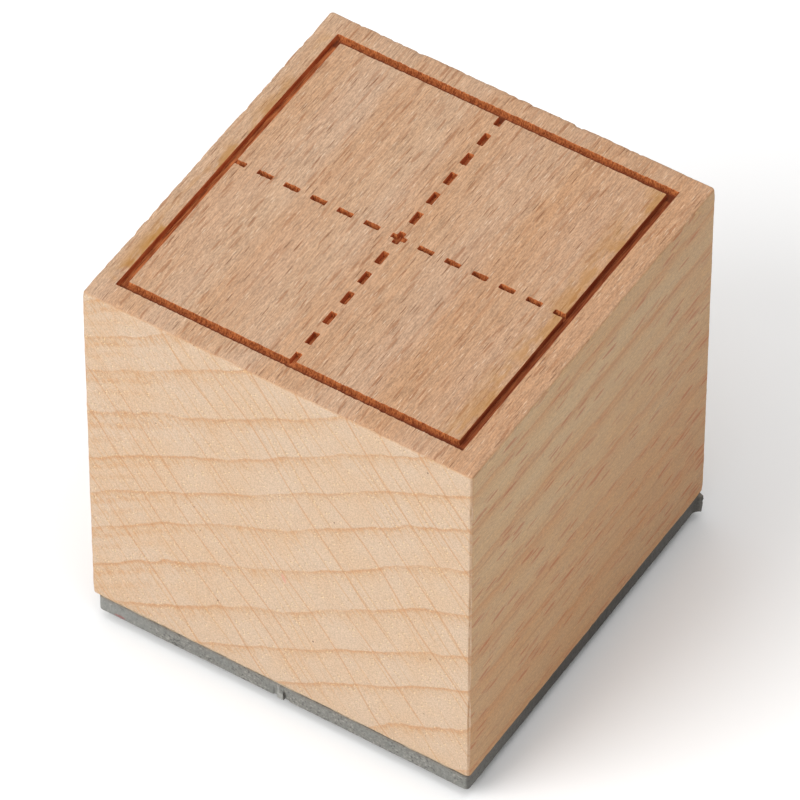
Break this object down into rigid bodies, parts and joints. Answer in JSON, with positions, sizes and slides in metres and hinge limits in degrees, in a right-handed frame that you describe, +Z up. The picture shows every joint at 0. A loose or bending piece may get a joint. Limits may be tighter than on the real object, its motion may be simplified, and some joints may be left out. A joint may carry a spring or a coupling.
{
  "type": "rubber stamp",
  "caption": "Cube-shaped wooden block stamp with a rubber die that prints a square outline with a dashed cross; the same figure is engraved on top as an index.",
  "frame": {"origin": "on the printing face, under the centre of the block", "axes": "+Z up, from the printing face to the engraved top; the wood's grain runs along Y and its end grain faces -Y and +Y; +X is to the right when the stamp is seen from -Y"},
  "size_m": [0.03, 0.03, 0.0326],
  "materials": {
    "beech": "sanded bare beech, no varnish",
    "bonding_film": "thin tan double-sided film",
    "die_rubber": "matte grey laser rubber"
  },
  "bodies": {
    "root": {"handle_block": "beech", "adhesive_film": "bonding_film", "rubber_die": "die_rubber"}
  },
  "joints": []
}
